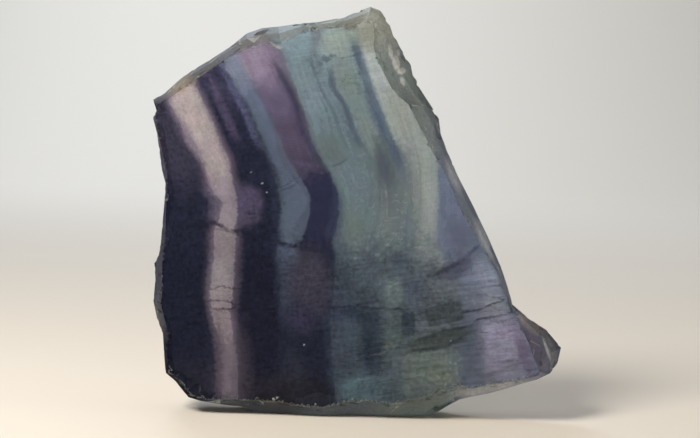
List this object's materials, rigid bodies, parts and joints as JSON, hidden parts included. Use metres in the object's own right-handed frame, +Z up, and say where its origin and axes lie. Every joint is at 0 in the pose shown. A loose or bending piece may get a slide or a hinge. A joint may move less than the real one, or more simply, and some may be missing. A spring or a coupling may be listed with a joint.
{
  "type": "fluorite slab",
  "caption": "Upright banded fluorite slab, polished front, sawn back, rough cleaved rim and a flat sawn foot to stand on.",
  "frame": {"origin": "middle of the base of the slab's box, on the surface it stands on", "axes": "+Z up, the polished face looks towards -Y, +X to the right as seen from the polished face"},
  "size_m": [0.1048, 0.013, 0.1028],
  "materials": {
    "fluorite": "polished"
  },
  "bodies": {
    "root": {"fluorite_slab": "fluorite"}
  },
  "joints": []
}
